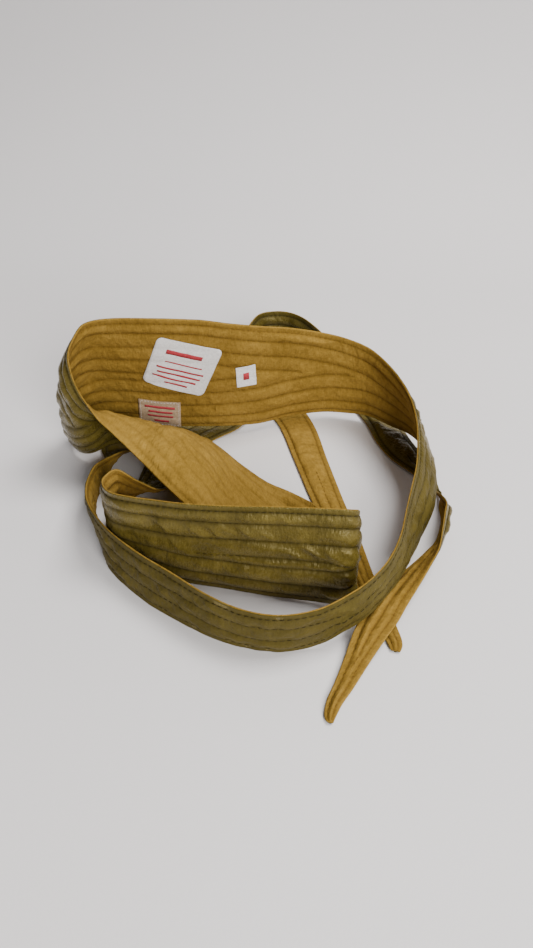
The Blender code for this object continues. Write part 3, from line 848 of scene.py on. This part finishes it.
def paper_material():
    """Pale paper, with painted shade that makes it a little darker up the backdrop."""
    m = Shader("pale_paper")
    where = m.add("TexCoord", out=3)
    tooth = m.noise(where, 900, detail=2)
    cloud = m.noise(where, 3, detail=2)
    height = m.add("SeparateXYZ", {"Vector": where}, out=2)
    # Painted shade: the paper darkens with height up the backdrop.
    far = m.math("SMOOTH_MIN", m.math("MULTIPLY", height, 6.0), 1.0, 0.3)
    colour = m.mix(far, m.ramp(cloud, PAPER_TONES), PAPER_BACKDROP_SHADE)
    m.set(m.surface, {"Base Color": colour, "Roughness": 0.75,
                      "Normal": m.bump(tooth, 0.05 * MM), "Specular IOR Level": 0.25})
    return m.material


def dress(piece, material, slot, *nodes):
    """Give a piece its material and hide the CAD nodes it stands for; the record slot is not used.
    """
    piece.data.materials.append(material)
    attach(piece, "root")
    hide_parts(*nodes)
    return piece


silk = silk_material()
lining = lining_material()
white = plain_cloth("white_satin_tape", (0.70, 0.69, 0.68), (0.86, 0.85, 0.84), 900, 0.55)
beige = plain_cloth("beige_tape", (0.36, 0.25, 0.15), (0.50, 0.37, 0.24), 900, 0.7)
woven_bars = plain_cloth("woven_bars", (0.34, 0.03, 0.04), (0.48, 0.06, 0.07), 1400, 0.7)
wadding_cloth = plain_cloth("needled_wadding", (0.70, 0.67, 0.58), (0.88, 0.86, 0.80), 500, 0.95)
# The olive and golden threads are coloured darker than the cloths they sew: painted shade of the
# stitch holes and puckers.
silk_thread = plain_cloth("olive_thread", (0.018, 0.012, 0.002), (0.045, 0.032, 0.005), 1800, 0.6)
gold_thread = plain_cloth("golden_thread", (0.090, 0.045, 0.005), (0.170, 0.090, 0.012), 1800, 0.7)
white_thread = plain_cloth("white_thread", (0.66, 0.65, 0.64), (0.84, 0.83, 0.82), 1800, 0.7)

quilting_nodes = [n for n in sorted(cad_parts) if n.startswith("quilting_thread")]
edge_nodes = [n for n in sorted(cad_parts) if n.startswith("edge_thread")]
channels, edges = LINES[:-2], LINES[-2:]

shell_cloth = dress(cloth("silk_face_cloth", silk_lift, CORE, SILK_INSET, CORE_INSET, 1),
                    silk, "silk_shell", "silk_shell")
lining_cloth = dress(cloth("cotton_lining_cloth", lining_lift, LINING_CORE, 0, CORE_INSET / 2, -1),
                     lining, "cotton_lining", "cotton_lining")
wadding = dress(wadding_sheet(), wadding_cloth, "wadding", "wadding")
lining_stitches = dress(stitches("lining_quilting_stitches", channels, lining_lift, -1),
                        gold_thread, "golden_thread", *quilting_nodes)
lining_edge = dress(stitches("lining_edge_stitches", edges, lining_lift, -1),
                    gold_thread, "golden_thread", *edge_nodes)
silk_stitches = dress(stitches("silk_quilting_stitches", channels, silk_lift, 1),
                      silk_thread, "golden_thread")
silk_edge = dress(stitches("silk_edge_stitches", edges, silk_lift, 1),
                  silk_thread, "golden_thread")

for name, place in LABELS.items():
    tape, slot = (beige, "beige_label") if name == "fibre_label" else (white, "white_label")
    dress(label_tape(name, place), tape, slot, name)
    dress(label_bars(name, place), woven_bars, slot)
    dress(label_stitches(name, place), white_thread, "label_thread",
                              name + "_thread")


# Floor and backdrop: where the paper starts to rise, its radius and angle there, how it goes on,
# and the points across it.
FLOOR_STARTS = (-2.0, -1.0, -0.4, 0.0)
SWEEP_START = 0.235
SWEEP_RADIUS = 0.35
SWEEP_ANGLE = 80
SWEEP_STEPS = 24
BACKDROP_STEP = (0.18, 1.0)
STAGE_HALF = 2.6
STAGE_COLUMNS = 9


def add_stage():
    """A pale paper floor that sweeps up behind the object."""
    profile = [(y, 0.0) for y in FLOOR_STARTS]
    profile += [(SWEEP_START * k / 4, 0.0) for k in range(1, 5)]
    for k in range(1, SWEEP_STEPS + 1):
        turn = math.radians(SWEEP_ANGLE) * k / SWEEP_STEPS
        profile.append((SWEEP_START + SWEEP_RADIUS * math.sin(turn),
                        SWEEP_RADIUS * (1 - math.cos(turn))))
    y, z = profile[-1]
    profile += [(y + BACKDROP_STEP[0] * k, z + BACKDROP_STEP[1] * k) for k in (1, 2)]
    x = np.linspace(-STAGE_HALF, STAGE_HALF, STAGE_COLUMNS)
    points = np.array([[(a, y, z) for a in x] for y, z in profile])
    faces = []
    for i in range(len(profile) - 1):
        for j in range(STAGE_COLUMNS - 1):
            a = i * STAGE_COLUMNS + j
            faces.append((a, a + 1, a + 1 + STAGE_COLUMNS, a + STAGE_COLUMNS))
    return add_mesh("paper_sweep", points, faces)


paper = add_stage()
paper.data.materials.append(paper_material())


# Soft lights: place, target, size, power and colour.
LIGHTS = {
    "front_window": ((0.44, -0.98, 0.60), (0, 0.02, 0.03), (0.50, 0.45), 19, (1.0, 0.985, 0.97)),
    "high_window": ((0.50, 0.10, 1.10), (0, 0.02, 0), (0.50, 0.50), 16, (1.0, 0.99, 0.98)),
}
ROOM_COLOUR = (0.93, 0.94, 1.0, 1)
ROOM_LIGHT = 0.24


def add_light(name, place, target, size, power, colour):
    """A rectangular soft light that faces its target."""
    light = bpy.data.lights.new(name, "AREA")
    light.shape = "RECTANGLE"
    light.size, light.size_y = size
    light.energy = power
    light.color = colour
    made = bpy.data.objects.new(name, light)
    made.location = place
    aim = np.array(target) - np.array(place)
    flat_run = math.hypot(aim[0], aim[1])
    made.rotation_euler = (math.atan2(flat_run, -aim[2]), 0, math.atan2(-aim[0], aim[1]))
    bpy.context.scene.collection.objects.link(made)


for light_name, settings in LIGHTS.items():
    add_light(light_name, *settings)

world = bpy.data.worlds.new("soft_room")
world.use_nodes = True
background = world.node_tree.nodes["Background"]
background.inputs["Color"].default_value = ROOM_COLOUR
background.inputs["Strength"].default_value = ROOM_LIGHT
bpy.context.scene.world = world

# Camera: height above the floor, tilt down in degrees, focal length as a share of the picture's
# height, sensor height and near limit.
CAMERA_HEIGHT = 0.240
CAMERA_PITCH = 40
FOCAL_SHARE = 685 / 948
SENSOR = 36
NEAR = 10 * MM
camera = bpy.data.cameras.new("camera")
camera.sensor_fit = "VERTICAL"
camera.sensor_height = SENSOR
camera.lens = FOCAL_SHARE * SENSOR
camera.clip_start = NEAR
viewer = bpy.data.objects.new("camera", camera)
viewer.location = (-COIL_MIDDLE[0], -COIL_MIDDLE[1], CAMERA_HEIGHT)
viewer.rotation_euler = (math.radians(90 - CAMERA_PITCH), 0, 0)
bpy.context.scene.collection.objects.link(viewer)
bpy.context.scene.camera = viewer
